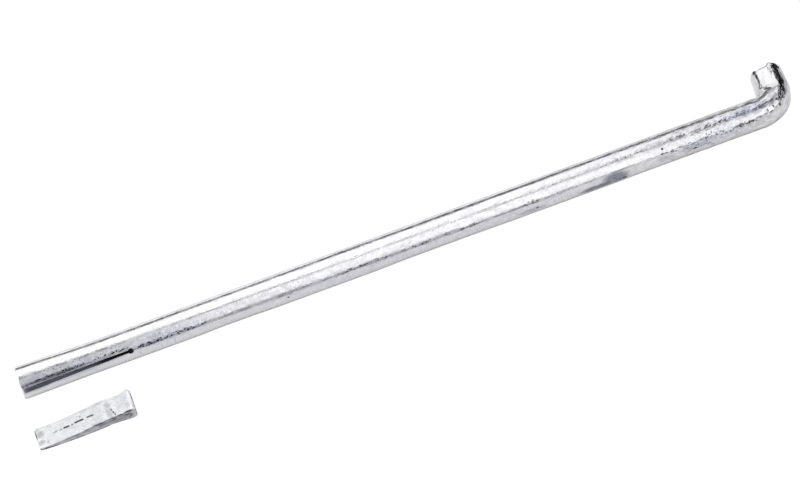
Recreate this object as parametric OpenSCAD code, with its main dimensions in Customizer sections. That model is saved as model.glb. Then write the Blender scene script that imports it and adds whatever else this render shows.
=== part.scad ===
// Hooked, split-end foundation bolt with the steel wedge that spreads its split.
// Millimetres. Origin: centre of the split end, on the bar's axis. +X runs along the bar to the
// hook, +Y is the way the hook's leg points and +Z is up. Bar and wedge lie on one level.

/* [Bar] */
// Diameter of the round bar
bar_d = 20; // [12:1:36]
// Length from the split end to the near side of the hook's leg
bar_length = 500; // [250:10:1200]

/* [Hook] */
// Inside radius of the right-angle bend
bend_inside_r = 2.8; // [1:0.1:20]
// Straight length of the leg beyond the bend
leg_length = 18.2; // [8:0.1:80]
// Broken edge around the leg's cut end
leg_chamfer = 0.8; // [0.2:0.1:2]

/* [Split] */
// Length of the saw cut, from the end to the centre of its stop hole
slot_length = 73; // [50:1:150]
// Width of the saw cut where it runs into the stop hole
slot_root_w = 2; // [1:0.1:2.8]
// How much wider the saw cut is at its mouth
slot_opening = 1; // [0.2:0.1:3]
// Diameter of the stop hole drilled across the bar
stop_hole_d = 3.4; // [3:0.1:8]
// Turn of the saw cut about the bar's axis, front side up
slot_turn = 14; // [-90:1:90]

/* [Wedge] */
// Length of the split that stays free behind the wedge once it is driven in
wedge_end_gap = 7; // [2:1:9]
// How far the wedge stands proud of the bar at each side once it is driven in
wedge_proud = 0.2; // [0.1:0.1:3]
// Play between the wedge's thin end and the mouth of the saw cut
wedge_entry_gap = 1.6; // [0.2:0.1:1.8]
// Length of the steeper lead taper behind the thin end
wedge_lead = 25; // [10:1:30]
// Thickness gained over the lead taper
wedge_lead_rise = 3.2; // [1:0.1:6]
// Thickness gained from there to the thick end
wedge_back_rise = 2.4; // [0.5:0.1:6]
// Corner cut at both sides of the thin end
wedge_tip_cut = 1.6; // [0.4:0.1:3]
// Corner radius at both sides of the thick end
wedge_head_r = 2.4; // [0.5:0.1:4]

/* [Lay] */
// Free space between the bar and the wedge that lies beside it
lay_gap = 26.6; // [5:0.1:80]
// How far the wedge's thin end lies out past the split end
lay_overhang = 2.2; // [0:0.1:20]

/* [Hidden] */
$fn = 96;
bar_r = bar_d / 2;
// The bend's centreline ends in the leg's axis, half a bar beyond the leg's near side.
bend_r = bend_inside_r + bar_r;
bend_x = bar_length + bar_r - bend_r;
leg_end_y = bend_r + leg_length;
// Saw cut and stop hole pass right through the bar and out of its end.
cut_over = 2;
cut_reach = bar_r + cut_over;
slot_mouth_w = slot_root_w + slot_opening;
// The cut widens evenly towards the end, and goes on widening over the stretch outside it.
mouth_over_w = slot_mouth_w + slot_opening * cut_over / slot_length;
// The wedge's sizes come from the saw cut that it spreads.
wedge_length = slot_length - wedge_end_gap;
wedge_width = bar_d + 2 * wedge_proud;
wedge_thin = slot_mouth_w - wedge_entry_gap;
wedge_knee_t = wedge_thin + wedge_lead_rise;
wedge_thick = wedge_knee_t + wedge_back_rise;

// Saw cut and stop hole, as seen along the cut's own plane.
module slot_outline() {
    polygon([
        [-cut_over, -mouth_over_w / 2],
        [slot_length, -slot_root_w / 2],
        [slot_length, slot_root_w / 2],
        [-cut_over, mouth_over_w / 2],
    ]);
}

module split_cut() {
    rotate([90 - slot_turn, 0, 0]) {
        translate([0, 0, -cut_reach]) linear_extrude(2 * cut_reach) slot_outline();
        translate([slot_length, 0, -cut_reach]) cylinder(h = 2 * cut_reach, d = stop_hole_d);
    }
}

// Round bar from the split end to the start of the bend.
module shank() {
    rotate([0, 90, 0]) cylinder(h = bend_x, d = bar_d);
}

module bend() {
    translate([bend_x, bend_r, 0]) rotate([0, 0, -90])
        rotate_extrude(angle = 90) translate([bend_r, 0]) circle(d = bar_d);
}

// Leg from the end of the bend to its cut end, with the edge broken.
module leg() {
    translate([bend_x + bend_r, bend_r, 0]) rotate([-90, 0, 0]) rotate_extrude()
        polygon([
            [0, 0],
            [bar_r, 0],
            [bar_r, leg_length - leg_chamfer],
            [bar_r - leg_chamfer, leg_length],
            [0, leg_length],
        ]);
}

// One bent bar, split along the middle at its straight end.
module hooked_bar() {
    color("silver") difference() {
        union() {
            shank();
            bend();
            leg();
        }
        split_cut();
    }
}

// Side view of the wedge: flat below, two tapers above, thin end at the left.
module wedge_profile() {
    polygon([
        [0, 0],
        [wedge_length, 0],
        [wedge_length, wedge_thick],
        [wedge_lead, wedge_knee_t],
        [0, wedge_thin],
    ]);
}

// Top view of the wedge, with its corners cut at the thin end and rounded at the thick end.
module wedge_plan() {
    half_w = wedge_width / 2;
    round_x = wedge_length - wedge_head_r;
    round_y = half_w - wedge_head_r;
    polygon([
        [0, -half_w + wedge_tip_cut],
        [wedge_tip_cut, -half_w],
        [round_x, -half_w],
        [round_x, half_w],
        [wedge_tip_cut, half_w],
        [0, half_w - wedge_tip_cut],
    ]);
    translate([wedge_lead, -round_y]) square([wedge_length - wedge_lead, 2 * round_y]);
    for (side = [-1, 1]) translate([round_x, side * round_y]) circle(r = wedge_head_r);
}

// Loose wedge lying flat beside the split, on the level that the bar lies on.
module wedge() {
    color("gainsboro")
        translate([-lay_overhang, -bar_r - lay_gap - wedge_width / 2, -bar_r])
        intersection() {
            translate([0, wedge_width / 2, 0]) rotate([90, 0, 0])
                linear_extrude(wedge_width) wedge_profile();
            linear_extrude(wedge_thick) wedge_plan();
        }
}

hooked_bar();
wedge();
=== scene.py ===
# Foundation bolt: a hot-dip galvanised round bar, hooked at one end and split at the other,
# with the loose wedge that spreads the split. Metres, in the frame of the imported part.
import math
from functools import partial
import bpy
import bmesh
from mathutils import Matrix, Vector, noise


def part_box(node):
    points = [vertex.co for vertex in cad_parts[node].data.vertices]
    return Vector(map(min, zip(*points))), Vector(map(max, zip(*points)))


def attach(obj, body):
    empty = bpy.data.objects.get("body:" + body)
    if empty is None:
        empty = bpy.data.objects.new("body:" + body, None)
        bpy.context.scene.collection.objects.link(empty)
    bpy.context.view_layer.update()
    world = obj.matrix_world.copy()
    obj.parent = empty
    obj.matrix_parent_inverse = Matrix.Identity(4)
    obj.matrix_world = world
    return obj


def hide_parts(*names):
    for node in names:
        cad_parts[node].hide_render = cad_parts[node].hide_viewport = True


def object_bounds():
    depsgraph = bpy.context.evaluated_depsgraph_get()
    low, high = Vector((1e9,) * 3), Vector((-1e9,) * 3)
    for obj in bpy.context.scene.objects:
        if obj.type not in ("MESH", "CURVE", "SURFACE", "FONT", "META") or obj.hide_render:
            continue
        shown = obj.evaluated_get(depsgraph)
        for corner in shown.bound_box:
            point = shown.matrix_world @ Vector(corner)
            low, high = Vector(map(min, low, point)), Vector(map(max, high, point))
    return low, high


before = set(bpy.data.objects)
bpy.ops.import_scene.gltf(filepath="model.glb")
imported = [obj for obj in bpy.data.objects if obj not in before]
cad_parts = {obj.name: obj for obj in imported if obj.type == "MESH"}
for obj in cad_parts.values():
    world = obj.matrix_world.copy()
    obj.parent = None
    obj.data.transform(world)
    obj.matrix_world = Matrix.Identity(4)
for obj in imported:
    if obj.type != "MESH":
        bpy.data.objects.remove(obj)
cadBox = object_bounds()
mm = 0.001


def addNode(tree, kind, *inputs, **settings):
    # adds a node, fills its sockets in order or by name, and hands back its first output;
    # a Math node goes by its operation, a soft Map Range by SMOOTHSTEP
    if kind == "SMOOTHSTEP":
        kind, settings = "ShaderNodeMapRange", {"interpolation_type": kind, **settings}
    elif kind.isupper():
        kind, settings = "ShaderNodeMath", {"operation": kind, **settings}
    node = tree.nodes.new(kind)
    for name, value in settings.items():
        setattr(node, name, value)
    named = inputs[0] if inputs and isinstance(inputs[0], dict) else dict(enumerate(inputs))
    for key, value in named.items():
        if isinstance(value, bpy.types.NodeSocket):
            tree.links.new(value, node.inputs[key])
        else:
            node.inputs[key].default_value = value
    return node.outputs[0] if node.outputs else None


def window(add, value, rise, fall):
    # 1 between two soft edges, 0 outside them
    return add("MULTIPLY", add("SMOOTHSTEP", value, *rise), add("SMOOTHSTEP", value, *fall))


def linearColour(hexCode):
    # sRGB hex to the linear values that shader sockets hold
    parts = [int(hexCode[i:i + 2], 16) / 255 for i in (1, 3, 5)]
    return [c / 12.92 if c <= 0.04045 else ((c + 0.055) / 1.055) ** 2.4 for c in parts] + [1.0]


def smoothRamp(value, low, high):
    t = min(1.0, max(0.0, (value - low) / (high - low)))
    return t * t * (3 - 2 * t)


def fromTable(table, value):
    # between two entries it runs midway between a straight line and a soft step
    for (x0, y0), (x1, y1) in zip(table, table[1:]):
        if value <= x1:
            return y0 + (y1 - y0) * smoothRamp(value, x0, x1) * 0.5 \
                + (y1 - y0) * min(1.0, max(0.0, (value - x0) / (x1 - x0))) * 0.5
    return table[-1][1]


def newObject(name, mesh):
    made = bpy.data.objects.new(name, mesh)
    bpy.context.scene.collection.objects.link(made)
    return made


def meshFrom(name, verts, edges=(), faces=()):
    mesh = bpy.data.meshes.new(name)
    mesh.from_pydata(verts, list(edges), list(faces))
    mesh.update()
    return mesh


def skinned(name, made, rings):
    # faces between neighbouring outlines and over both ends, as a closed mesh
    count = len(rings[0])
    for one, two in zip(rings, rings[1:]):
        for i in range(count):
            j = (i + 1) % count
            made.faces.new((one[i], one[j], two[j], two[i]))
    made.faces.new(rings[0])
    made.faces.new(list(reversed(rings[-1])))
    bmesh.ops.recalc_face_normals(made, faces=made.faces)
    mesh = bpy.data.meshes.new(name)
    made.to_mesh(mesh)
    made.free()
    return mesh


cameraSetup = {
    "elevation": math.radians(39.5),    # how far above the table the bolt is seen from
    "roll": math.radians(20.14),        # how much the bar climbs to the right
    "distance": 13.5,                   # far off with a long lens, so the bar keeps its width
    "aimX": 0.2552,                     # point of the bar in the middle of the picture
    "aimUp": -0.0007,
    "pictureWidth": 0.50505,            # metres across the picture at the bar
    "sensor": 36.0,
}


def makeCamera(setup):
    rise, roll = setup["elevation"], setup["roll"]
    back = Vector((0, -math.cos(rise), math.sin(rise)))
    levelUp = Vector((0, math.sin(rise), math.cos(rise)))
    level = Vector((1, 0, 0))
    right = level * math.cos(roll) - levelUp * math.sin(roll)
    up = level * math.sin(roll) + levelUp * math.cos(roll)
    data = bpy.data.cameras.new("camera")
    data.sensor_width = setup["sensor"]
    data.lens = setup["sensor"] * setup["distance"] / setup["pictureWidth"]
    data.clip_start, data.clip_end = 0.1, 100
    made = newObject("camera", data)
    aim = level * setup["aimX"] + levelUp * setup["aimUp"]
    turn = Matrix((right, up, back)).transposed().to_4x4()
    made.matrix_world = Matrix.Translation(aim + back * setup["distance"]) @ turn
    bpy.context.scene.camera = made


makeCamera(cameraSetup)
print("camera placed")


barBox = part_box("hooked_bar")
barRadius = (barBox[1].z - barBox[0].z) / 2

barShape = {
    "radius": barRadius,
    "bendInside": 2.8 * mm,
    "legEnd": barBox[1].y,
    "farSide": barBox[1].x,
    "coarseStep": 1.3 * mm,             # ring spacing on the smooth stretch
    "fineStep": 0.75 * mm,              # and on the lumpy stretch and the bend
    "fineFrom": 405 * mm,
    "ringPoints": 100,
    "lumpFrom": 418 * mm,               # the heated end, where the zinc took unevenly
    "lumpFull": 452 * mm,
    "lumpHeight": 0.36 * mm,
    "lumpSize": 5.5 * mm,
    "legCalm": 0.15,                    # share of the lumps left on the leg
    "upset": 0.045,                     # thickening where the bar was bent hot
    "legSpread": 0.075,                 # the leg pressed a little wide, and off its line
    "legShift": 0.1 * mm,
    "facetDrop": 2.2 * mm,              # hammered flat on top of the leg's end
    "endLean": 0.4 * mm,
    "legTilt": 0.085,                   # the leg rises a little off the table
    "tiltFrom": 8 * mm,
    "waveHeight": 0.16 * mm,
    "waveLength": 60 * mm,
    # zinc drained thicker or thinner along the low front side: place along, then height, mm
    "drain": ((0, 0.0), (45, 0.05), (75, 0.32), (118, 0.32), (132, 0.0), (150, 0.05), (170, 0.36),
              (235, 0.42), (256, -0.02), (300, -0.06), (335, 0.18), (398, 0.16), (412, -0.06),
              (470, -0.08), (500, 0.0)),
    # rounded rims of the two end faces: distance in from the face, mm, and share of the radius
    "startRim": ((0.0, 0.972), (0.12, 0.987), (0.35, 0.996), (0.8, 1.0)),
    "endRim": ((1.1, 0.997), (0.75, 0.985), (0.45, 0.966), (0.2, 0.943), (0.05, 0.92), (0.0, 0.90)),
    "legRamp": ((10.2 * mm, 15 * mm), (497 * mm, 499 * mm)),    # y and x where the leg begins
    "seed": 11.0,
}

slotShape = {
    "length": 73 * mm,
    "rootWidth": 1.9 * mm,
    "mouthWidth": 2.85 * mm,
    "drift": (0.28 * mm, 0.72 * mm),    # the saw ran low, and lower still near the end
    "holeRadius": 1.9 * mm,
    "turn": math.radians(14.5),
    "over": 2 * mm,
    "lipWidth": 1.9 * mm,               # zinc rounds the lips of the cut over this width
    "lipDrop": 0.55 * mm,
    "flareUp": 1.6 * mm,                # how far the prongs stand apart at the end
    "flareDown": 0.6 * mm,
    "flareLength": 62 * mm,
}


def barPath(shape):
    # points along the bar's axis with the share of the full radius at each
    bendRadius = shape["bendInside"] + shape["radius"]
    legX = shape["farSide"] - shape["radius"]
    bendX = legX - bendRadius
    stations = [(at * mm, share) for at, share in shape["startRim"]]
    x = 2 * mm
    while x < bendX - shape["fineStep"] * 0.6:
        stations.append((x, 1.0))
        x += shape["coarseStep"] if x < shape["fineFrom"] else shape["fineStep"]
    points = [(Vector((s, 0, 0)), share) for s, share in stations]
    turns = round(math.pi / 2 * bendRadius / shape["fineStep"])
    for i in range(turns + 1):
        a = math.pi / 2 * i / turns
        at = Vector((bendX + bendRadius * math.sin(a), bendRadius * (1 - math.cos(a)), 0))
        points.append((at, 1.0 + shape["upset"] * smoothRamp(a, 0.2, 1.3)))
    y = bendRadius + shape["fineStep"]
    while y < shape["legEnd"] - 1.4 * mm:
        swell = smoothRamp(y, shape["legEnd"] - 4 * mm, bendRadius)
        points.append((Vector((legX, y, 0)), 1.0 + shape["upset"] * swell))
        y += shape["fineStep"]
    for back, share in shape["endRim"]:
        points.append((Vector((legX, shape["legEnd"] - back * mm, 0)), share))
    return points


def slotCutter(shape, reach):
    # keyhole outline of saw cut and stop hole, pushed right through the bar
    half, hole = shape["rootWidth"] / 2, shape["holeRadius"]
    start = math.asin(half / hole)
    joinX = shape["length"] - hole * math.cos(start)
    steps = 40
    spread = (shape["mouthWidth"] - shape["rootWidth"]) / 2
    upper = []
    for i in range(steps + 1):
        x = -shape["over"] + (joinX + shape["over"]) * i / steps
        upper.append((x, half + spread * (1 - x / joinX)))

    def drifted(x, w):
        low, lower = shape["drift"]
        return x, w - low - lower * (1 - x / shape["length"])

    arc = [(shape["length"] - hole * math.cos(a), hole * math.sin(a))
           for a in (start + (2 * math.pi - 2 * start) * k / 30 for k in range(1, 30))]
    outline = upper + arc + [(x, -w) for x, w in reversed(upper)]
    outline = [drifted(x, w) for x, w in outline]
    across = Vector((0, -math.cos(shape["turn"]), math.sin(shape["turn"])))
    normal = Vector((0, math.sin(shape["turn"]), math.cos(shape["turn"])))
    levels = 12
    made = bmesh.new()
    rows = []
    for k in range(levels + 1):
        depth = across * (reach * (2 * k / levels - 1))
        rows.append([made.verts.new(Vector((x, 0, 0)) + normal * w + depth) for x, w in outline])
    return newObject("slotCutter", skinned("slotCutter", made, rows))


# what the bar's node group takes in, by the names used in the dictionaries above
barSockets = {
    "Float": ("radius", "lumpFrom", "lumpFull", "lumpHeight", "lumpSize", "waveHeight",
              "waveLength", "seed", "legCalm", "legX", "legEnd", "facetDrop", "endLean",
              "legTilt", "tiltFrom", "length", "lipWidth", "lipDrop", "flareUp", "flareDown",
              "flareLength"),
    "Int": ("ringPoints",),
    "Vector": ("across", "slotNormal"),
    "Object": ("cutter",),
    "Material": ("zinc",),
}


def barTree():
    # sweeps the round section along the path, lumps it, saws the slot and bends the prongs apart
    tree = bpy.data.node_groups.new("galvanisedBar", "GeometryNodeTree")
    face = tree.interface
    face.new_socket("Geometry", in_out="INPUT", socket_type="NodeSocketGeometry")
    for kind, names in barSockets.items():
        for name in names:
            face.new_socket(name, in_out="INPUT", socket_type="NodeSocket" + kind)
    face.new_socket("Geometry", in_out="OUTPUT", socket_type="NodeSocketGeometry")
    add = partial(addNode, tree)
    given = add("NodeGroupInput").node.outputs
    line = add("GeometryNodeMeshToCurve", {"Mesh": given["Geometry"]})
    line = add("GeometryNodeSetCurveNormal", {"Curve": line}, mode="Z_UP")
    ring = add("GeometryNodeCurvePrimitiveCircle",
               {"Resolution": given["ringPoints"], "Radius": given["radius"]})
    share = add("GeometryNodeInputNamedAttribute", {"Name": "share"}, data_type="FLOAT")
    line = add("GeometryNodeSetCurveRadius", {"Curve": line, "Radius": share})
    sweep = add("GeometryNodeCurveToMesh",
                {"Curve": line, "Profile Curve": ring, "Fill Caps": True})
    # a sweep with a scale socket of its own does not follow the curve's radius
    if "Scale" in sweep.node.inputs:
        tree.links.new(share, sweep.node.inputs["Scale"])

    place = add("GeometryNodeInputPosition")
    axes = add("ShaderNodeSeparateXYZ", place).node.outputs
    along = axes["X"]
    # the end faces stay flat: their rims move only within the face
    facing = add("ShaderNodeSeparateXYZ", add("GeometryNodeInputNormal")).node.outputs
    legTip = add("SUBTRACT", given["legEnd"], axes["Y"])
    outwards = add("ShaderNodeCombineXYZ",
                   add("MULTIPLY", facing["X"], add("SMOOTHSTEP", along, 0.0001, 0.001)),
                   add("MULTIPLY", facing["Y"], add("SMOOTHSTEP", legTip, 0.00002, 0.001)),
                   facing["Z"])
    outwards = add("ShaderNodeVectorMath", outwards, operation="NORMALIZE")
    # lumps at the heated end, fewer on the leg
    lumps = add("ShaderNodeTexNoise",
                {"Vector": place, "W": given["seed"], "Detail": 2.5, "Roughness": 0.55,
                 "Scale": add("DIVIDE", 1.0, given["lumpSize"])}, noise_dimensions="4D")
    lumpy = add("SMOOTHSTEP", along, given["lumpFrom"], given["lumpFull"])
    lift = add("MULTIPLY", add("SUBTRACT", lumps, 0.5), given["lumpHeight"])
    lift = add("MULTIPLY", lift, add("MULTIPLY", lumpy, 2.0))
    onLeg = add("SMOOTHSTEP", axes["Y"], 0.008, 0.014)
    calm = add("MULTIPLY", add("SUBTRACT", given["legCalm"], 1.0), onLeg)
    lift = add("MULTIPLY", lift, add("ADD", calm, 1.0))
    # long waves everywhere
    waves = add("ShaderNodeTexNoise",
                {"Vector": place, "W": given["seed"], "Detail": 1.0,
                 "Scale": add("DIVIDE", 1.0, given["waveLength"])}, noise_dimensions="4D")
    wave = add("MULTIPLY", add("SUBTRACT", waves, 0.5), given["waveHeight"])
    # zinc rounds the lips: the skin falls away towards the cut
    height = add("ShaderNodeVectorMath", place, given["slotNormal"],
                 operation="DOT_PRODUCT").node.outputs["Value"]
    nearLip = add("DIVIDE", height, given["lipWidth"])
    nearLip = add("EXPONENT", add("MULTIPLY", add("MULTIPLY", nearLip, nearLip), -1.0))
    beforeHole = add("SUBTRACT", given["length"], 0.006)
    inSplit = add("SMOOTHSTEP", along, given["length"], beforeHole)
    fall = add("MULTIPLY", add("MULTIPLY", nearLip, inSplit), given["lipDrop"])
    # less so on the lower lip
    lower = add("ShaderNodeMapRange",
                {"Value": height, "From Min": -0.0008, "From Max": 0.0004, "To Min": 0.35})
    fall = add("MULTIPLY", fall, lower)
    # drained zinc on the low front side
    drained = add("GeometryNodeInputNamedAttribute", {"Name": "drained"}, data_type="FLOAT")
    lowFrontWay = (0, -0.636, -0.7716)
    lowFront = add("ShaderNodeVectorMath", outwards, lowFrontWay,
                   operation="DOT_PRODUCT").node.outputs["Value"]
    wave = add("ADD", wave, add("MULTIPLY", drained, add("SMOOTHSTEP", lowFront, 0.5, 0.95)))
    total = add("SUBTRACT", add("ADD", lift, wave), fall)
    offset = add("ShaderNodeVectorMath", {0: outwards, "Scale": total}, operation="SCALE")
    moved = add("GeometryNodeSetPosition", {"Geometry": sweep, "Offset": offset})

    # the leg's end: right side longer, top hammered to a facet
    sideways = add("DIVIDE", add("SUBTRACT", along, given["legX"]), given["radius"])
    nearEnd = add("SUBTRACT", axes["Y"], given["legEnd"])
    lean = add("ADD", 0.45, add("MULTIPLY", sideways, 0.55))
    lean = add("MULTIPLY", add("SMOOTHSTEP", nearEnd, -0.008, 0.0), lean)
    onTop = add("MULTIPLY", add("SMOOTHSTEP", axes["Z"], 0.004, 0.009),
                window(add, sideways, (-0.75, -0.45), (0.28, 0.08)))
    drop = add("MULTIPLY", onTop, add("SMOOTHSTEP", nearEnd, -0.0042, 0.0))
    drop = add("MULTIPLY", drop, given["facetDrop"])
    raised = add("MAXIMUM", add("SUBTRACT", axes["Y"], given["tiltFrom"]), 0.0)
    raised = add("MULTIPLY", raised, given["legTilt"])
    shaped = add("ShaderNodeCombineXYZ", {1: add("MULTIPLY", lean, given["endLean"]),
                                          2: add("SUBTRACT", raised, drop)})
    moved = add("GeometryNodeSetPosition", {"Geometry": moved, "Offset": shaped})

    cutter = add("GeometryNodeObjectInfo", {"Object": given["cutter"]}).node.outputs["Geometry"]
    sawn = add("GeometryNodeMeshBoolean", {"Mesh 1": moved, "Mesh 2": cutter},
               operation="DIFFERENCE", solver="EXACT")

    # prongs: full spread at the end, none where the flare begins
    spread = add("SMOOTHSTEP", along, given["flareLength"], -0.020)
    front = add("ShaderNodeVectorMath", place, given["across"],
                operation="DOT_PRODUCT").node.outputs["Value"]
    upper = add("GREATER_THAN", height, 0.0)
    rise = add("MULTIPLY", upper, add("SMOOTHSTEP", front, 0.0098, -0.003))
    rise = add("MULTIPLY", rise, given["flareUp"])
    sink = add("SMOOTHSTEP", front, -0.002, 0.009, 0.25)
    sink = add("MULTIPLY", add("SUBTRACT", 1.0, upper), sink)
    sink = add("MULTIPLY", sink, given["flareDown"])
    push = add("MULTIPLY", add("SUBTRACT", rise, sink), spread)
    push = add("ShaderNodeVectorMath", {0: given["slotNormal"], "Scale": push},
               operation="SCALE")
    flared = add("GeometryNodeSetPosition", {"Geometry": sawn, "Offset": push})
    # nothing reaches below the table
    floorZ = add("MULTIPLY", given["radius"], -1.0)
    kept = add("ShaderNodeCombineXYZ", axes["X"], axes["Y"], add("MAXIMUM", axes["Z"], floorZ))
    rested = add("GeometryNodeSetPosition", {"Geometry": flared, "Position": kept})
    smoothed = add("GeometryNodeSetShadeSmooth", {"Geometry": rested})
    real = add("GeometryNodeRealizeInstances", {"Geometry": smoothed})
    dressed = add("GeometryNodeSetMaterial", {"Geometry": real, "Material": given["zinc"]})
    add("NodeGroupOutput", {"Geometry": dressed})
    return tree


def makeBar(shape, slot, material):
    path = barPath(shape)
    mesh = meshFrom("barPath", [p for p, share in path],
                    [(i, i + 1) for i in range(len(path) - 1)])
    shares = mesh.attributes.new("share", "FLOAT", "POINT")
    shares.data.foreach_set("value", [share for p, share in path])
    drained = mesh.attributes.new("drained", "FLOAT", "POINT")
    drained.data.foreach_set("value", [fromTable(shape["drain"], p.x / mm) * mm for p, s in path])
    line = newObject("barPath", mesh)
    cutter = slotCutter(slot, shape["radius"] + 3 * mm)
    tree = barTree()
    swept = line.modifiers.new("galvanisedBar", "NODES")
    swept.node_group = tree
    legX = shape["farSide"] - shape["radius"]
    values = {
        **shape, **slot, "legX": legX, "cutter": cutter, "zinc": material,
        "across": (0, -math.cos(slot["turn"]), math.sin(slot["turn"])),
        "slotNormal": (0, math.sin(slot["turn"]), math.cos(slot["turn"])),
    }
    for item in tree.interface.items_tree:
        if item.item_type == "SOCKET" and item.in_out == "INPUT" and item.name in values:
            swept[item.identifier] = values[item.name]
    depsgraph = bpy.context.evaluated_depsgraph_get()
    shell = bpy.data.meshes.new_from_object(line.evaluated_get(depsgraph))
    line.modifiers.remove(swept)
    bpy.data.objects.remove(line)
    bpy.data.objects.remove(cutter)
    shell.name = "hookedBarZinc"
    # the leg alone, past the bend
    (lowY, highY), (lowX, highX) = shape["legRamp"]
    for vert in shell.vertices:
        share = smoothRamp(vert.co.y, lowY, highY) * smoothRamp(vert.co.x, lowX, highX)
        vert.co.x += ((vert.co.x - legX) * shape["legSpread"] - shape["legShift"]) * share
    cleanShell(shell)
    return newObject("hookedBarZinc", shell)


def cleanShell(mesh):
    made = bmesh.new()
    made.from_mesh(mesh)
    bmesh.ops.remove_doubles(made, verts=made.verts, dist=0.004 * mm)
    bmesh.ops.recalc_face_normals(made, faces=made.faces)
    made.to_mesh(mesh)
    made.free()
    mesh.set_sharp_from_angle(angle=math.radians(38))


def startMaterial(name):
    # an empty material, and what adds nodes to it
    made = bpy.data.materials.new(name)
    made.use_nodes = True
    made.node_tree.nodes.clear()
    return made, partial(addNode, made.node_tree)


def layered(add, look, base, coats):
    # coats of colour over a base, each by its own share
    colour = linearColour(look[base])
    for share, name in coats:
        mix = {"Factor": share, 6: colour, 7: linearColour(look[name])}
        colour = add("ShaderNodeMix", mix, data_type="RGBA").node.outputs[2]
    return colour


def spots(add, place, marks):
    # the strongest of some soft ellipsoids: centre and half sizes in millimetres, then a strength
    total = 0.0
    for centre, size, strength in marks:
        away = add("ShaderNodeVectorMath", place, centre, operation="SUBTRACT")
        away = add("ShaderNodeVectorMath", away, size, operation="DIVIDE")
        reach = add("ShaderNodeVectorMath", away, operation="LENGTH")
        inside = add("SMOOTHSTEP", reach.node.outputs["Value"], 1.0, 0.4, 0.0, strength)
        total = add("MAXIMUM", inside, total)
    return total


def patchNoise(add, place, size, stretch=1.0, detail=2.0, seed=0.0, roughness=0.5):
    # noise whose blobs are about size millimetres wide and stretch times as long along the bar
    share = (1 / (size * stretch), 1 / size, 1 / size)
    spread = add("ShaderNodeVectorMath", place, share, operation="MULTIPLY")
    return add("ShaderNodeTexNoise", {"Vector": spread, "W": seed, "Scale": 1.0, "Detail": detail,
                                      "Roughness": roughness}, noise_dimensions="4D")


def flecks(add, place, size, stretch, crowd, seed=0.0):
    # separate dark grains about size millimetres across, the more the higher the crowd value
    share = (1 / (size * stretch), 1 / size, 1 / size)
    spread = add("ShaderNodeVectorMath", place, share, operation="MULTIPLY")
    spread = add("ShaderNodeVectorMath", spread, (seed, seed, seed), operation="ADD")
    cells = {"Vector": spread, "Scale": 1.0, "Randomness": 1.0}
    cells = add("ShaderNodeTexVoronoi", cells).node.outputs
    chance = add("ShaderNodeSeparateXYZ", cells["Color"]).node.outputs["X"]
    dark = add("SMOOTHSTEP", add("ADD", chance, crowd), 0.8, 1.15)
    dark = add("MULTIPLY", dark, add("SMOOTHSTEP", crowd, 0.05, 0.7, 0.35, 1.0))
    return add("MULTIPLY", dark, add("SMOOTHSTEP", cells["Distance"], 0.75, 0.35))


# place along the bar, angle round it (0 facing front, 90 on top), length and width, strength
# dark marks: dross and pits, with painted reflection in the dark line along the cut's upper lip and
# the long dark lines near the top, and painted shade and reflection in the dark band and the crease
# round the hook
darkMarksAndShade = (
    (178, -3, 2.2, 1.6, 0.9), (345, -11, 2.6, 1.8, 0.9), (431.5, 38.4, 2.2, 2.2, 1.0),
    (451.5, -3, 4.2, 1.7, 1.0), (403.2, -21.5, 4.6, 2.4, 1.0), (430.5, 21, 3.4, 1.6, 0.9),
    (461, 35, 1.4, 2.6, 0.7), (464.3, 35, 1.4, 2.6, 0.7), (462.6, 29, 3.4, 1.2, 0.7),
    (457, 22, 4.0, 1.6, 0.6), (437.5, 22, 3.0, 1.6, 0.6), (489.5, 62, 5, 1.4, 0.5),
    (22, 26.5, 66, 4.2, 0.68), (38, -3, 50, 1.8, 0.22), (0.4, 2, 1.6, 2.4, 0.8),
    (57.5, 55.5, 5, 1.6, 0.35), (63.3, 55, 2.6, 1.6, 0.3), (68, 54, 4, 1.4, 0.35),
    (63, 47, 0.7, 3, 0.3), (64.8, 46, 0.7, 3.4, 0.35), (66.6, 45, 0.7, 3.4, 0.35),
    (68.4, 45, 0.7, 3, 0.3), (70, 44, 0.7, 3, 0.3), (400.3, -23, 2.4, 1.8, 0.8),
    (500.5, 36, 1.3, 3.4, 0.8), (501.6, 26, 2.6, 1.6, 0.85), (503.3, 38, 1.3, 3.4, 0.85),
    (502.3, 48, 1.8, 1, 0.55), (507.3, 38, 3.4, 3.5, 0.6), (506.3, 31, 2.6, 2.4, 0.55),
    (483, 21.5, 12, 2.4, 0.6), (490.5, 22.5, 8, 2.2, 0.8), (496, 26, 8, 1.8, 0.7),
    (499.4, 28, 3.4, 1.7, 0.7), (485, 68, 6, 1.3, 0.4), (497.5, 62.5, 6, 1.8, 0.4),
    (501.5, 63, 4, 2, 0.7), (504.5, 58, 3.6, 2, 0.75), (506.6, 48, 2.2, 3, 0.75),
    (506, 90, 7, 1.2, 0.35), (507.6, 78, 4, 1, 0.3), (532.6, 128, 6, 4.4, 0.95),
    (528, 125, 8, 3, 0.85), (523, 122, 8, 2.2, 0.65), (517.5, 121, 7, 1.9, 0.6),
    (524, 38, 10, 1.8, 0.5), (513, 30, 9, 2, 0.5), (10, 2.5, 28, 2.2, 0.6), (9, -3, 26, 3.4, 0.22),
    (9, 57, 26, 10, 0.13),
    (506, 27, 1.5, 3.4, 0.9), (507.8, 36, 1.7, 3.2, 0.85), (509.6, 35, 1.5, 2.6, 0.65),
    (519, 110, 13, 3.6, 0.15), (528, 78, 9, 3.4, 0.2),
    (330, 91.5, 260, 4.4, 0.26), (450, 91.5, 110, 4.4, 0.3),
    (144.5, 62, 1.6, 3.5, 0.25), (146.2, 48, 1.8, 6.5, 0.22), (78.5, -10, 1.2, 5, 0.25),
    (92.5, -10, 1.2, 5, 0.2), (96.5, -6, 1.1, 4, 0.25), (101.5, -8, 1.1, 5, 0.3),
)
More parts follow.
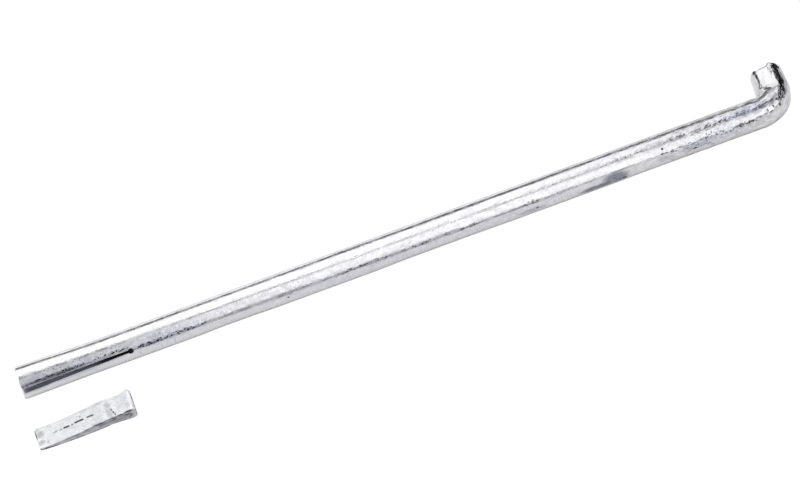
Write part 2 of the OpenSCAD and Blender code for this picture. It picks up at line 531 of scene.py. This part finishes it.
bluePatches = ((386, -19, 36, 6.0, 0.84), (398, -7, 24, 12, 0.8), (401, 8, 14, 6, 0.4),
               (341, -14, 26, 5, 0.4), (432, 0, 16, 5, 0.25), (452, 4, 26, 7, 0.2),
               (519, 33, 28, 7, 0.42))
violetZones = ((30, 26, 110, 14, 0.27), (95, 22, 80, 11, 0.32), (250, 10, 420, 12, 0.1),
               (464, 12, 60, 9, 0.25), (490, 62, 44, 8, 0.45))
# where dark dross grains gather
drossZones = ((88, 17, 46, 4.2, 0.85), (104, 17, 60, 4, 0.7), (126, 16, 40, 3.6, 0.15),
              (60, 29, 34, 3.2, 0.7), (24, 29, 60, 3.8, 0.85), (170, 16, 60, 3.6, 0.05),
              (222, 16, 36, 3.4, 0.5), (240, 17, 22, 3.4, 0.5), (271, 16, 50, 3.4, 0.4),
              (301, 16, 18, 3.4, 0.5), (343, 18, 18, 4.6, 0.5), (363, 17, 24, 3.6, 0.3),
              (438, 18, 30, 4, 0.45), (475, 20, 60, 5, 0.5), (478, 63, 60, 5, 0.45),
              (443, 61, 34, 4, 0.2), (300, 96, 420, 3.4, 0.25), (110, 96, 110, 3.2, 0.25),
              (455, 2, 44, 8, 0.3), (495, 70, 30, 7, 0.4), (462, 40, 60, 22, 0.1),
              (483, 20, 16, 3, 0.6), (490, 21, 12, 3, 0.8), (499, 26, 14, 2.4, 0.55),
              (500, 66, 16, 2.6, 0.5), (509.5, 44, 8, 8, 0.6), (530.5, 74, 6, 6, 0.8),
              (527, 76, 9, 3, 0.6), (34, 48, 84, 10, 0.24), (3, 26, 9, 4, 0.6))
# dull grains in the bright skin at the bend
etchedZones = ((512, 48, 12, 10, 0.7), (534, 72, 7, 7, 0.5))

barLook = {
    "zinc": "#e1e1e4",                  # clean zinc, faintly blue
    "dark": "#22222d",                  # dross and bare alloy in pits, and painted shade and reflection
    "blue": "#696b7c",                  # thin blue-grey oxide
    "violet": "#b7bad9",                # tint of the skin where the split was sawn, also laid in the cut, where it darkens it as painted shade
    "roughness": (0.12, 0.31),
    "streak": (1.7, 14.0, 0.085),       # blob width, stretch along the bar, height, all mm
    "mottle": (2.8, 1.5, 0.13),
    "grain": (1.3, 1.3, 0.1),
    "heated": (3.0, 1.3, 0.3),
    "heatedFrom": (415, 445),           # along the bar, mm: the heated end begins
    "legFrom": (507, 515),              # and the leg, which is this much smoother
    "legSmooth": 0.55,
    "legLean": (512, 540, 0.0, 0.95),
    "cutWall": (9.45, 8.9),             # off the axis by less than this is inside the cut
    "cutRun": ((0.5, 1.5), (77, 76)),
    # painted shade inside the cut, deepest towards the stop hole
    "cutShade": ((46, 60, 0.2, 0.95), (26, 12, 0.0, 0.2)),
    "holeShade": (72, 73.5, 1.0, 0.75),
}


def roundBar(marks):
    # from a place on the round skin to one in space, the leg being a little thicker
    legFrom, onBar, onLeg = 509, 10, 10.9
    placed = []
    for x, angle, long, wide, strength in marks:
        a = math.radians(angle)
        radius = onBar if x < legFrom else onLeg
        placed.append(((x, -radius * math.cos(a), radius * math.sin(a)),
                       (long / 2, wide / 2, wide / 2), strength))
    return placed


def laidStraight(add, place, bendX, bendRadius):
    # the hook unrolled: distance along the bar's axis, then across it as on the straight bar
    axes = add("ShaderNodeSeparateXYZ", place).node.outputs
    ahead = add("SUBTRACT", axes["X"], bendX)
    inner = add("SUBTRACT", bendRadius, axes["Y"])
    aheadOnly = add("MAXIMUM", ahead, 0.0)
    innerOnly = add("MAXIMUM", inner, 0.0)
    angle = add("ARCTAN2", aheadOnly, innerOnly)
    along = add("ADD", add("MULTIPLY", angle, bendRadius), bendX)
    along = add("ADD", along, add("MINIMUM", ahead, 0.0))
    along = add("SUBTRACT", along, add("MINIMUM", inner, 0.0))
    reach = add("ADD", add("MULTIPLY", aheadOnly, aheadOnly), add("MULTIPLY", innerOnly, innerOnly))
    reach = add("SQRT", reach)
    across = add("SUBTRACT", bendRadius, reach)
    return add("ShaderNodeCombineXYZ", along, across, axes["Z"])


def zincMaterial(look, bendX, bendRadius):
    # bright hot-dip zinc: a mirror skin with drain streaks and mottle, rough past the heated end
    zinc, add = startMaterial("hotDipZincBright")
    metres = add("ShaderNodeTexCoord").node.outputs["Object"]
    place = add("ShaderNodeVectorMath", {0: metres, "Scale": 1 / mm}, operation="SCALE")
    axes = add("ShaderNodeSeparateXYZ", place).node.outputs
    place = laidStraight(add, place, bendX, bendRadius)
    heated = add("SMOOTHSTEP", axes["X"], *look["heatedFrom"])
    # inside the saw cut: painted shade, dark towards the stop hole
    fromAxis = add("ShaderNodeCombineXYZ", {1: axes["Y"], 2: axes["Z"]})
    fromAxis = add("ShaderNodeVectorMath", fromAxis, operation="LENGTH").node.outputs["Value"]
    inCut = add("MULTIPLY", add("SMOOTHSTEP", fromAxis, *look["cutWall"]),
                window(add, axes["X"], *look["cutRun"]))
    inner, outer = (add("SMOOTHSTEP", axes["X"], *soft) for soft in look["cutShade"])
    deep = add("MULTIPLY", add("ADD", inner, outer),
               add("SMOOTHSTEP", axes["X"], *look["holeShade"]))

    laid = add("ShaderNodeSeparateXYZ", place).node.outputs
    along = laid["X"]
    # the skin lies calm on top of the leg and near the split end
    onLeg = add("MULTIPLY", add("SMOOTHSTEP", along, *look["legFrom"]),
                add("SMOOTHSTEP", laid["Y"], -4.6, -3.0, 0.35, 1.0))
    calm = add("SUBTRACT", 1.0, add("MULTIPLY", onLeg, 0.85))
    calm = add("MULTIPLY", calm, add("SMOOTHSTEP", along, 60, 290, 0.45, 1.0))
    height = 0.0
    for seed, (name, share) in enumerate((("streak", 1.0), ("mottle", 1.0), ("grain", 1.0),
                                          ("heated", heated))):
        size, stretch, tall = look[name]
        blobs = patchNoise(add, place, size, stretch, 0.6, seed * 7.3)
        if name == "grain":
            share = add("SMOOTHSTEP", patchNoise(add, place, 9, 3, 1, 31.0), 0.38, 0.62, 0.4, 1.5)
            share = add("ADD", share, heated)
        blobs = add("MULTIPLY", add("MULTIPLY", blobs, share), tall)
        height = add("ADD", blobs, height)
    height = add("MULTIPLY", height, calm)
    # the leg's skin leans a little, so that its top mirrors the middle of the overhead box
    height = add("ADD", height, add("SMOOTHSTEP", along, *look["legLean"]))
    bump = add("ShaderNodeBump", {"Height": height, "Distance": mm, "Strength": 1.0})

    # the dark coat: painted shade in the cut, dark marks that are partly painted shade and
    # reflection, dross grains and mottle
    drossAndPaintedShade = add("MULTIPLY", inCut, deep)
    drossAndPaintedShade = add("MAXIMUM", drossAndPaintedShade, spots(add, place, roundBar(darkMarksAndShade)))
    gathered = spots(add, place, roundBar(drossZones))
    drossAndPaintedShade = add("MAXIMUM", drossAndPaintedShade, flecks(add, place, 1.05, 1.4, gathered, 17.0))
    mottle = patchNoise(add, place, 1.5, 1.5, 1, 41.0)
    coarse = patchNoise(add, place, 4.0, 2.0, 1, 43.0)
    mottle = add("ADD", mottle, add("MULTIPLY", coarse, 0.35))
    mottle = add("MULTIPLY", add("SMOOTHSTEP", mottle, 0.45, 1.0, 0.0, 0.2),
                 add("ADD", add("MULTIPLY", heated, 0.8), 1.0))
    mottle = add("MULTIPLY", mottle, calm)
    # the top dulls towards the heated end
    dull = add("SMOOTHSTEP", axes["X"], 310, 460, 0.0, 0.16)
    dull = add("MULTIPLY", dull, add("SMOOTHSTEP", axes["Y"], 14, 8))
    dull = add("MULTIPLY", dull, add("SMOOTHSTEP", axes["Z"], 5.5, 8.5))
    drossAndPaintedShade = add("MAXIMUM", drossAndPaintedShade, add("ADD", mottle, dull))
    patchy = add("SMOOTHSTEP", patchNoise(add, place, 2.0, 1.6, 3, 5.0), 0.2, 0.5, 0.5, 1.0)
    blue = add("MULTIPLY", spots(add, place, roundBar(bluePatches)), patchy)
    # violet tint on the skin; inside the cut the same coat darkens it as painted shade
    tintAndCutShade = spots(add, place, roundBar(violetZones))
    tintAndCutShade = add("MAXIMUM", tintAndCutShade, add("MULTIPLY", inCut, 0.5))
    coats = (tintAndCutShade, "violet"), (blue, "blue"), (drossAndPaintedShade, "dark")
    colour = layered(add, look, "zinc", coats)
    # rougher in the cut, smoother past the bend
    rough = patchNoise(add, place, 3.5, 2.0, 1, 61.0)
    rough = add("SMOOTHSTEP", rough, 0.35, 0.65, *look["roughness"])
    smoother = add("SMOOTHSTEP", along, *look["legFrom"], 1.0, look["legSmooth"])
    rough = add("MULTIPLY", rough, smoother)
    rough = add("ADD", add("MULTIPLY", inCut, 0.3), rough)
    etched = flecks(add, place, 1.3, 1.2, spots(add, place, roundBar(etchedZones)), 29.0)
    rough = add("ADD", rough, add("MULTIPLY", etched, 0.5))
    skin = add("ShaderNodeBsdfPrincipled", {"Base Color": colour, "Metallic": 1.0,
                                            "Roughness": rough, "Normal": bump})
    add("ShaderNodeOutputMaterial", {"Surface": skin})
    return zinc


# x, y, z, then length, width and height of soft grey patches, mm, and strength: the zinc's own
# grey, with painted shade in the dark lines along the foot where the wedge meets the floor, down
# the hammer mark's steep wall and at the struck end's edge
wedgeGreyAndShade = ((1.5, -44, -8.5, 8, 9, 4, 0.3), (1, -52, -8.5, 7, 7, 4, 0.3),
               (0, -38, -8.5, 6, 7, 4, 0.22), (47.3, -48, -5, 6.5, 26, 8, 0.25),
               (49.1, -48.4, -4.7, 1.5, 4, 2.4, 0.75), (49.8, -51.4, -4.7, 1.5, 4, 2.4, 0.85),
               (50.5, -54.2, -4.7, 1.5, 3.6, 2.4, 0.75), (63.8, -46, -4.5, 1.6, 12, 8, 0.75),
               (39, -57.6, -5.4, 13, 2.4, 2, 0.75), (48, -57, -5.1, 9, 2.4, 1.8, 0.6),
               (58.5, -57.8, -3.4, 11, 2.4, 1.8, 0.8), (42, -57.6, -6.8, 10, 2.6, 2, 0.45),
               (44, -57.3, -5.2, 9, 2.2, 1.7, 0.6), (53, -57.4, -4.5, 9, 2.2, 1.7, 0.65),
               (57, -57.6, -5.6, 8, 2.6, 2, 0.4), (45, -57.9, -9.7, 36, 2.8, 1.8, 0.45),
               (50, -57.5, -7, 28, 3, 7, 0.25), (60, -57.9, -7, 5, 3, 4, 0.3),
               (4, -57.8, -9.8, 20, 3.4, 2.6, 0.9), (20, -58.2, -9.8, 24, 2.8, 1.8, 0.5),
               (42, -39, -6, 14, 5, 6, 0.2), (31.5, -40, -7, 6, 7, 6, 0.12),
               (59.5, -52, -3, 6, 8, 6, 0.16), (28.9, -42.8, -6.5, 1.7, 1.5, 3, 0.85),
               (-1.5, -43, -8.9, 2.2, 12, 4, 0.8), (56, -46, -3.5, 16, 20, 4, 0.08),
               (5, -53.5, -8, 2.4, 7, 3, 0.22), (39, -48, -5, 14, 26, 5, 0.10))

wedgeLook = {
    "zinc": "#f2f3f5",
    "side": "#c0bfc7",                  # the sides, darker than the top by how they face: painted shade, over a duller, faintly violet skin on the sheared edges
    "dark": "#2b2c31",
    "roughness": (0.47, 0.63),
    "metallic": 0.55,
    "seamY": (-47.4, 0.02),             # forging seam, a broken line along the top: y and slope
    "seam": ((9.8, 12.6, 0.5), (13.9, 16, 0.55), (16.6, 21, 1.0), (21.9, 23.2, 0.85),
             (24.4, 30.5, 1.0), (32.6, 37.3, 0.9)),
}


def wedgeMaterial(look):
    # dull hot-dip zinc: a matt skin with fine grain, forging seam open and dark
    zinc, add = startMaterial("hotDipZincMatt")
    metres = add("ShaderNodeTexCoord").node.outputs["Object"]
    place = add("ShaderNodeVectorMath", {0: metres, "Scale": 1 / mm}, operation="SCALE")
    axes = add("ShaderNodeSeparateXYZ", place).node.outputs
    wander = patchNoise(add, place, 3.0, 1.0, 2, 4.0)
    startY, slope = look["seamY"]
    lineY = add("ADD", add("MULTIPLY", axes["X"], slope), startY)
    wander = add("MULTIPLY", add("SUBTRACT", wander, 0.5), 1.6)
    offLine = add("ADD", add("SUBTRACT", axes["Y"], lineY), wander)
    onLine = add("SMOOTHSTEP", add("ABSOLUTE", offLine), 1.05, 0.6)
    opened = 0.0
    for start, end, depth in look["seam"]:
        run = add("MULTIPLY", add("SMOOTHSTEP", axes["X"], start - 0.3, start + 0.5),
                  add("SMOOTHSTEP", axes["X"], end + 0.3, end - 0.5, 0.0, depth))
        opened = add("MAXIMUM", run, opened)
    seam = add("MULTIPLY", onLine, opened)
    seam = add("MULTIPLY", seam, add("SMOOTHSTEP", axes["Z"], -9.0, -8.5))
    grain = patchNoise(add, place, 0.7, 1.3, 3, 1.0)
    patches = patchNoise(add, place, 4.5, 1.4, 3, 2.0)
    height = add("ADD", add("MULTIPLY", grain, 0.09), add("MULTIPLY", patches, 0.3))
    height = add("SUBTRACT", height, add("MULTIPLY", seam, 0.35))
    bump = add("ShaderNodeBump", {"Height": height, "Distance": mm, "Strength": 1.0})
    normal = add("ShaderNodeNewGeometry").node.outputs["Normal"]
    upward = add("ShaderNodeSeparateXYZ", normal).node.outputs["Z"]
    tone = add("SMOOTHSTEP", patchNoise(add, place, 2.0, 1.6, 3, 6.0), 0.35, 0.7, 0.0, 0.11)
    fine = add("SMOOTHSTEP", patchNoise(add, place, 1.1, 1.4, 1, 9.0), 0.5, 0.75, 0.0, 0.14)
    tone = add("ADD", tone, fine)
    # the sheared front face is scored lengthwise
    scored = add("SMOOTHSTEP", patchNoise(add, place, 0.8, 5.0, 1, 12.0), 0.46, 0.64, 0.0, 0.42)
    tone = add("ADD", tone, add("MULTIPLY", scored, add("SMOOTHSTEP", upward, 0.5, 0.2)))
    # soft grey patches, partly painted shade
    greyAndShade = spots(add, place, [(mark[:3], [v / 2 for v in mark[3:6]], mark[6])
                                 for mark in wedgeGreyAndShade])
    # a pale strip across the struck end, where the darker mottle is left out
    paleStrip = window(add, axes["X"], (60.2, 61.2), (63.4, 63.0))
    tone = add("MULTIPLY", tone, add("SUBTRACT", 1.0, paleStrip))
    tone = add("MAXIMUM", add("ADD", tone, greyAndShade), add("MULTIPLY", seam, 0.97))
    # painted shade: the faces darken the further they turn from straight up
    coats = (add("SMOOTHSTEP", upward, 0.35, 0.8), "zinc"), (tone, "dark")
    colour = layered(add, look, "side", coats)
    rough = add("SMOOTHSTEP", patches, 0.35, 0.65, *look["roughness"])
    skin = add("ShaderNodeBsdfPrincipled", {"Base Color": colour, "Metallic": look["metallic"],
                                            "Roughness": rough, "Normal": bump})
    add("ShaderNodeOutputMaterial", {"Surface": skin})
    return zinc


bendRadius = barShape["bendInside"] + barShape["radius"]
bendX = barShape["farSide"] - barShape["radius"] - bendRadius
barZinc = zincMaterial(barLook, bendX / mm, bendRadius / mm)
bar = makeBar(barShape, slotShape, barZinc)
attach(bar, "root")
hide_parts("hooked_bar")
print("bar made:", len(bar.data.polygons), "faces")


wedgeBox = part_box("wedge")

# thickness at the front and back edge, both against the length from the thin end, all mm
wedgeShape = {
    "frontEdge": ((0, 1.2), (0.7, 1.7), (2.2, 2.0), (12, 2.85), (22, 3.85), (32, 4.8), (42, 5.05),
                  (47, 5.1), (52, 5.6), (62, 7.05), (63.2, 7.0), (64.4, 6.2), (66, 4.9)),
    "backEdge": ((0, 1.2), (2.2, 1.5), (12, 1.75), (22, 2.4), (31, 3.5), (37, 4.0), (44, 4.9),
                 (47, 5.4), (49, 5.5), (55, 5.1), (59, 5.3), (61, 6.3), (62.5, 7.2), (64.6, 7.0),
                 (66, 5.9)),
    "rim": (61.6, 64.6, 0.7),           # the struck end has spread into a raised rim
    "frontWobble": ((0, 0.1), (4, -0.4), (12, -0.9), (29, -1.2), (42, -0.6), (48, 0.1),
                    (55, -0.3), (62, -0.9), (66, -0.5)),
    "frontRound": 0.4,
    "backRound": 1.0,
    "tipBack": 0.6,                     # the thin end is worn back a little
    "tipCut": (0.5, 1.3),               # corner cuts at the front and back of the thin end
    "headRound": 2.2,
    "endSoften": (0.28, 0.5),           # the end edges drop by this much over this run
    "foot": 0.2,                        # the lower edges are set in by this much
    "lengthStep": 0.5,
    "rows": 56,                         # steps across the upper face
    # hammer mark: x and y of its upper end, lean, then run and depth of each bank
    "dent": {"x": 49.0, "y": -46.5, "lean": 0.22, "gentle": (4.6, 0.36), "steep": (0.8, 0.75),
             "back": 2.4, "rear": (0.42, -3.6, 0.2, 3.2)},
    "hammered": 0.2,
    "seed": 4,
}


def wedgeTop(shape, x, y, front, back, startX):
    # thickness at one place of the upper face
    across = (y - front) / (back - front)
    along = x - startX
    thick = fromTable(shape["frontEdge"], along) * (1 - across) \
        + fromTable(shape["backEdge"], along) * across
    at = Vector((x, y, 0)) / 8 + Vector((0, 0, shape["seed"]))
    rough = shape["hammered"] * min(1.0, thick / 4)
    thick += rough * noise.noise(at) + rough * 0.5 * noise.noise(at * 3.1)
    dent = shape["dent"]
    off = x - dent["x"] - (dent["y"] - y) * dent["lean"]
    run, gentle = dent["gentle"]
    steepRun, steep = dent["steep"]
    deep = gentle * smoothRamp(off, -run, -steepRun) \
        + (steep - gentle) * smoothRamp(off, -steepRun, 0)
    deep *= smoothRamp(off, dent["back"], 0)
    fade = smoothRamp(y, dent["y"] + 1.5, dent["y"] - 1.0) * smoothRamp(y, front, front + 0.8)
    thick -= deep * fade
    rimStart, rimFull, rim = shape["rim"]
    thick += rim * smoothRamp(along, rimStart, rimFull) * smoothRamp(y, front + 1.5, front + 4) \
        * smoothRamp(y, back - 0.8, back - 3)
    rear = smoothRamp(y, dent["y"], dent["y"] + 4)
    deep, left, middle, right = dent["rear"]
    thick -= deep * rear * smoothRamp(off, left, middle) * smoothRamp(off, right, middle)
    return thick


def makeWedge(shape, box, material):
    low, high = box[0] / mm, box[1] / mm
    low.x += shape["tipBack"]
    floorZ, foot, rows = low.z, shape["foot"], shape["rows"]
    drop, dropRun = shape["endSoften"]
    stations = [low.x, low.x + 0.1, low.x + 0.25]
    while stations[-1] < high.x - 0.6:
        stations.append(stations[-1] + shape["lengthStep"])
    stations += [high.x - 0.3, high.x - 0.12, high.x]
    made = bmesh.new()
    rings = []
    for x in stations:
        run, rest = x - low.x, high.x - x
        insets = [max(0.0, cut - run) * 0.8 for cut in shape["tipCut"]]
        if rest < shape["headRound"]:
            r = shape["headRound"]
            curve = r - math.sqrt(max(0.0, r * r - (r - rest) ** 2))
            insets = [inset + curve for inset in insets]
        soften = drop * (1 - smoothRamp(min(run, rest), 0, dropRun))
        front = low.y + fromTable(shape["frontWobble"], run) + insets[0]
        back = high.y - insets[1]
        frontThick = wedgeTop(shape, x, front, front, back, low.x) - soften
        backThick = wedgeTop(shape, x, back, front, back, low.x) - soften
        fr = min(shape["frontRound"], frontThick * 0.45)
        br = min(shape["backRound"], backThick * 0.45)
        ring = [(front + foot + (back - front - 2 * foot) * k / 8, floorZ) for k in range(9)]
        ring += [(back, floorZ + foot + (backThick - br - foot) * k / 5) for k in range(6)]
        ring += [(back - br + br * math.cos(a), floorZ + backThick - br + br * math.sin(a))
                 for a in (math.pi / 2 * k / 4 for k in range(1, 4))]
        for k in range(rows + 1):
            y = back - br - (back - br - front - fr) * k / rows
            thick = wedgeTop(shape, x, y, front, back, low.x) - soften
            edge = smoothRamp(back - br - y, 0, 1.2)
            thick = backThick * (1 - edge) + thick * edge
            edge = smoothRamp(y - front - fr, 0, 0.8)
            thick = frontThick * (1 - edge) + thick * edge
            ring.append((y, floorZ + thick))
        ring += [(front + fr - fr * math.sin(a), floorZ + frontThick - fr + fr * math.cos(a))
                 for a in (math.pi / 2 * k / 4 for k in range(1, 4))]
        ring += [(front, floorZ + frontThick - fr - (frontThick - fr - foot) * k / 5)
                 for k in range(6)]
        rings.append([made.verts.new(Vector((x, y, z)) * mm) for y, z in ring])
    mesh = skinned("splitWedgeZinc", made, rings)
    mesh.materials.append(material)
    mesh.shade_smooth()
    mesh.set_sharp_from_angle(angle=math.radians(42))
    return newObject("splitWedgeZinc", mesh)


wedge = makeWedge(wedgeShape, wedgeBox, wedgeMaterial(wedgeLook))
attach(wedge, "root")
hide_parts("wedge")
print("wedge made:", len(wedge.data.polygons), "faces")


# the studio by angle about the bar's axis: 0 is level in front, 90 overhead, 180 level behind
studioBands = ((-25, 0.32), (-13, 0.32), (-5, 0.5), (8, 0.68), (64, 0.68), (69, 1.5),
               (132, 1.5), (137, 0.3), (145, 0.18), (155, 0.18), (163, 1.1), (175, 1.35),
               (200, 1.3))

# soft edges in degrees: of rise above the horizon, and of turn to the side
studioLook = {
    "behind": (((24.5, 28), (56, 50)), ((-70, -62), (-20, -25))),
    "overhead": (((37, 42), (60, 54)), ((7, 12), (40, 36))),    # one on each side of the middle
    "right": (((18, 26), (68, 62)), (0.35, 0.5)),               # angle about the axis, then x
    "card": (1.3, 1.3, 1.32, 1),
    "strip": (160, 166),                # the low pale strip behind, dim but for its middle
    "stripSides": ((-66, -58), (28, 22)),
    "stripDim": 0.92,
    "stripLeft": (-28, -34),            # it sits higher on the left, and dimmer
    "leftLift": 5.0,
    "leftDim": 0.35,
    "emptyRight": ((1.1, 1.4), (68, 80)),    # slope to the right, then angle about the axis
    "emptyDim": 0.96,
}


def makeStage(look):
    world = bpy.data.worlds.new("studio")
    bpy.context.scene.world = world
    world.use_nodes = True
    world.node_tree.nodes.clear()
    add = partial(addNode, world.node_tree)
    toward = add("ShaderNodeTexCoord").node.outputs["Generated"]
    axes = add("ShaderNodeSeparateXYZ", toward).node.outputs
    degrees = 180 / math.pi
    around = add("ARCTAN2", axes["Z"], add("MULTIPLY", axes["Y"], -1.0))
    around = add("MULTIPLY", around, degrees)
    sideways = add("MULTIPLY", add("ARCTAN2", axes["X"], axes["Y"]), degrees)
    rise = add("MULTIPLY", add("ARCSINE", axes["Z"]), degrees)
    low, high = studioBands[0][0], studioBands[-1][0]
    bands = add("ShaderNodeValToRGB", add("DIVIDE", add("SUBTRACT", around, low), high - low))
    elements = bands.node.color_ramp.elements
    while len(elements) < len(studioBands):
        elements.new(0.5)
    for element, (at, level) in zip(elements, studioBands):
        element.position = (at - low) / (high - low)
        element.color = (level, level, level * 1.01, 1)
    # the low pale strip behind is short
    onLeft = add("SMOOTHSTEP", sideways, *look["stripLeft"])
    strip = add("SUBTRACT", around, add("MULTIPLY", onLeft, look["leftLift"]))
    strip = add("MULTIPLY", add("SMOOTHSTEP", strip, *look["strip"]),
                add("SMOOTHSTEP", axes["Y"], 0, 0.1))
    aside = add("SUBTRACT", 1.0, window(add, sideways, *look["stripSides"]))
    dimmed = add("MULTIPLY", add("MULTIPLY", strip, aside), look["stripDim"])
    keep = add("SUBTRACT", 1.0, dimmed)
    dimmed = add("MULTIPLY", add("MULTIPLY", strip, onLeft), look["leftDim"])
    keep = add("MULTIPLY", keep, add("SUBTRACT", 1.0, dimmed))
    # three cards: behind on the left, high behind clear of the bar's own top line, and low in
    # front on the right
    tall, wide = look["behind"]
    behind = add("MULTIPLY", window(add, rise, *tall), window(add, sideways, *wide))
    tall, wide = look["overhead"]
    overhead = add("MULTIPLY", window(add, rise, *tall),
                   window(add, add("ABSOLUTE", sideways), *wide))
    tall, wide = look["right"]
    right = add("MULTIPLY", window(add, around, *tall), add("SMOOTHSTEP", axes["X"], *wide))
    card = add("MAXIMUM", behind, add("MAXIMUM", overhead, right))
    level = add("ShaderNodeMix", {"Factor": card, 6: bands, 7: look["card"]},
                data_type="RGBA").node.outputs[2]
    strength = add("MAXIMUM", keep, card)
    # nothing stands to the right of the hook
    tall, wide = look["emptyRight"]
    slant = add("DIVIDE", axes["X"], add("MAXIMUM", axes["Z"], 0.001))
    empty = add("MULTIPLY", add("SMOOTHSTEP", slant, *tall), add("SMOOTHSTEP", around, *wide))
    empty = add("MULTIPLY", empty, look["emptyDim"])
    strength = add("MULTIPLY", strength, add("SUBTRACT", 1.0, empty))
    rays = add("ShaderNodeLightPath").node.outputs
    studio = add("ShaderNodeBackground", {"Color": level, "Strength": strength})
    white = add("ShaderNodeBackground", {"Color": (1, 1, 1, 1)})
    both = add("ShaderNodeMixShader", rays["Is Camera Ray"], studio, white)
    add("ShaderNodeOutputWorld", {"Surface": both})


def makePlane(name, outline, z, material):
    made = newObject(name, meshFrom(name, [(x, y, z) for x, y in outline], (),
                                    [tuple(range(len(outline)))]))
    made.data.materials.append(material)
    return made


def paleFloor(look):
    # a lit white table: the eye gets white with a faint shadow, the zinc a steady pale grey
    pale, add = startMaterial("paleTable")
    matt = add("ShaderNodeBsdfDiffuse", {"Color": linearColour(look["paint"])})
    rays = add("ShaderNodeLightPath").node.outputs
    seen = add("MULTIPLY", rays["Is Camera Ray"], look["whiteness"])
    mirrored = add("MULTIPLY", rays["Is Glossy Ray"], look["steadiness"])
    metres = add("ShaderNodeTexCoord").node.outputs["Object"]
    across = add("ShaderNodeSeparateXYZ", metres).node.outputs["Y"]
    beyond = add("SMOOTHSTEP", add("ABSOLUTE", across), *look["underBar"])
    mirrored = add("MULTIPLY", mirrored, beyond)
    level = add("MULTIPLY", rays["Is Glossy Ray"], look["glow"] - look["white"])
    level = add("ADD", level, look["white"])
    glow = add("ShaderNodeEmission", {"Color": (1, 1, 1, 1), "Strength": level})
    both = add("ShaderNodeMixShader", add("ADD", seen, mirrored), matt, glow)
    add("ShaderNodeOutputMaterial", {"Surface": both})
    return pale


def makePanel(name, centre, target, width, depth, radiance):
    # a soft box that gives the stated radiance wherever it is seen in the metal
    data = bpy.data.lights.new(name, "AREA")
    data.shape = "RECTANGLE"
    data.size, data.size_y = width, depth
    data.energy = radiance * width * depth * math.pi
    made = newObject(name, data)
    look = (Vector(target) - Vector(centre)).to_track_quat("-Z", "Y")
    made.matrix_world = Matrix.Translation(Vector(centre)) @ look.to_matrix().to_4x4()
    made.visible_camera = False
    return made


floorLook = {
    "paint": "#e4e4e4",
    "whiteness": 0.9,                   # share of plain white in what the camera sees
    "steadiness": 0.55,                 # and of plain pale grey in what the zinc mirrors
    "glow": 0.92,                       # that grey, and the white the eye gets
    "white": 1.07,
    "underBar": (0.0065, 0.012, 0.15, 1.0),    # less grey close under the bar
}

frontBox = {
    "name": "front",
    "centre": (0.74, -0.868, 0.547),
    "target": (0.74, 0, 0),
    "width": 1.25,
    "depth": 1.11,
    "radiance": 0.75,
}

makeStage(studioLook)
tableZ = cadBox[0].z
floorPaint = paleFloor(floorLook)
surround = makePlane("surround", ((-30, -30), (30, -30), (30, 30), (-30, 30)),
                     tableZ - 0.2 * mm, floorPaint)
surround.visible_glossy = surround.visible_diffuse = surround.visible_shadow = False
table = makePlane("table", ((-0.5, -0.068), (0.07, -0.068), (0.08, -0.046), (0.29, -0.046),
                            (0.36, -0.075), (0.43, -0.14), (1.2, -0.14), (1.2, 1.5),
                            (-0.5, 1.5)), tableZ, floorPaint)
makePanel(**frontBox)

# dim gaps between the soft boxes: outline seen from above, then how bright
gaps = (
    # between front and overhead, wider towards the hook
    (((-0.3, -0.52), (0.2, -0.51), (0.4, -0.42), (0.45, -0.42), (0.5, -0.5), (1.5, -0.5),
      (1.5, 0.3), (0.5, 0.0), (0.45, -0.2), (0.41, -0.3), (0.38, -0.36), (0.2, -0.43),
      (-0.3, -0.44)), 0.3),
    # the overhead box stops short on the left
    (((-0.3, -0.44), (0.2, -0.43), (0.1, -0.38), (0.06, -0.24), (0.02, -0.14), (-0.3, -0.12)),
     0.46),
)


def makeGap(outline, brightness, height):
    dim, add = startMaterial("dimGap")
    glow = add("ShaderNodeEmission", {"Color": (1, 1, 1, 1), "Strength": brightness})
    add("ShaderNodeOutputMaterial", {"Surface": glow})
    made = newObject("dimGap", meshFrom("dimGap", [(x, y, height) for x, y in outline], (),
                                        [tuple(range(len(outline)))]))
    made.data.materials.append(dim)
    made.visible_camera = made.visible_diffuse = made.visible_shadow = False


for outline, brightness in gaps:
    makeGap(outline, brightness, 1.1)
print("stage lit")

bpy.context.scene.view_settings.view_transform = "Standard"
